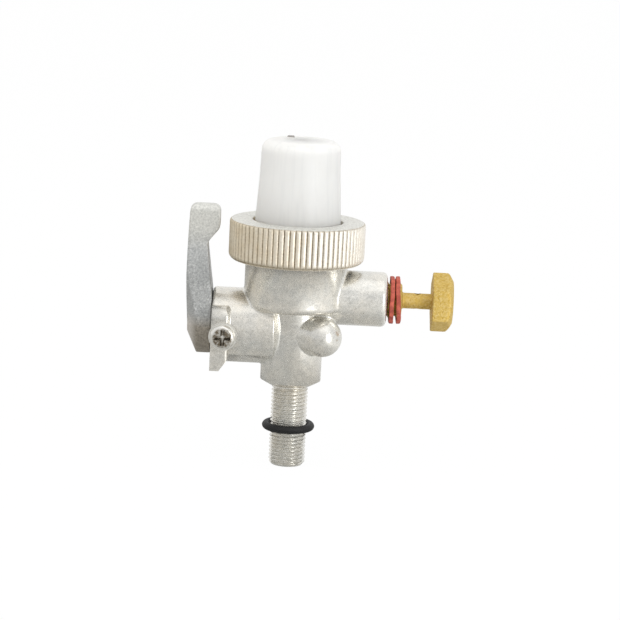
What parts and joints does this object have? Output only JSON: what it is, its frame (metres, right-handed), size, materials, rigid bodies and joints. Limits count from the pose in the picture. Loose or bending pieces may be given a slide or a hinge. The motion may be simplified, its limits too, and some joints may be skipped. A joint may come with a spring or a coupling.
{
  "type": "fuel strainer",
  "caption": "Cast fuel tap with threaded stem, quarter-turn lever, clear sediment cup under a knurled ring nut, and a hollow outlet bolt.",
  "frame": {"origin": "on the stem's axis, at the shoulder that seats against the tank", "axes": "+Z along the stem's axis towards the sediment cup, +X along the outlet, -Y towards the retaining screw"},
  "size_m": [0.1019, 0.0518, 0.1269],
  "materials": {
    "cast": "satin cast",
    "cup": "milky translucent",
    "ring": "turned, champagne tint",
    "rubber": "smooth black",
    "frame": "moulded",
    "gauze": "woven wire",
    "lever": "rough cast",
    "spool": "turned",
    "steel": "plain",
    "screw": "bright plated",
    "brass": "grainy",
    "fibre": "red fibre"
  },
  "bodies": {
    "body": {"body": "cast", "strainer_seal": "rubber", "strainer_frame": "frame", "strainer_mesh": "gauze", "strainer_cap": "frame", "cup_gasket": "rubber", "retaining_screw": "screw", "screw_washer": "screw", "stem_ring": "rubber"},
    "lever": {"lever": "lever", "valve_spool": "spool", "spool_ring_inner": "rubber", "spool_ring_outer": "rubber", "lever_pin": "steel"},
    "cup": {"sediment_cup": "cup"},
    "ring_nut": {"ring_nut": "ring"},
    "washers": {"outlet_washer_inner": "fibre", "outlet_washer_outer": "fibre"},
    "banjo_bolt": {"banjo_bolt": "brass"}
  },
  "joints": [
    {"name": "lever_turn", "type": "hinge", "parent": "body", "child": "lever", "pos_m": [-0.03, 0, 0.0221], "axis": [-1, 0, 0], "range_deg": [0, 90]},
    {"name": "cup_lift", "type": "slide", "parent": "body", "child": "cup", "axis": [0, 0, 1], "range_m": [0, 0.006]},
    {"name": "ring_nut_turn", "type": "hinge", "parent": "cup", "child": "ring_nut", "pos_m": [0, 0, 0.055], "axis": [0, 0, 1], "range_deg": [0, 1440]},
    {"name": "washer_slide", "type": "slide", "parent": "body", "child": "washers", "axis": [1, 0, 0], "range_m": [0, 0.0075]},
    {"name": "banjo_bolt_turn", "type": "hinge", "parent": "washers", "child": "banjo_bolt", "pos_m": [0.05, 0, 0.0346], "axis": [1, 0, 0], "range_deg": [0, 1800]}
  ],
  "couplings": [
    {"joint": "ring_nut_turn", "follows": "cup_lift", "rad_per_m": 4188.8},
    {"joint": "banjo_bolt_turn", "follows": "washer_slide", "rad_per_m": 4188.8}
  ]
}
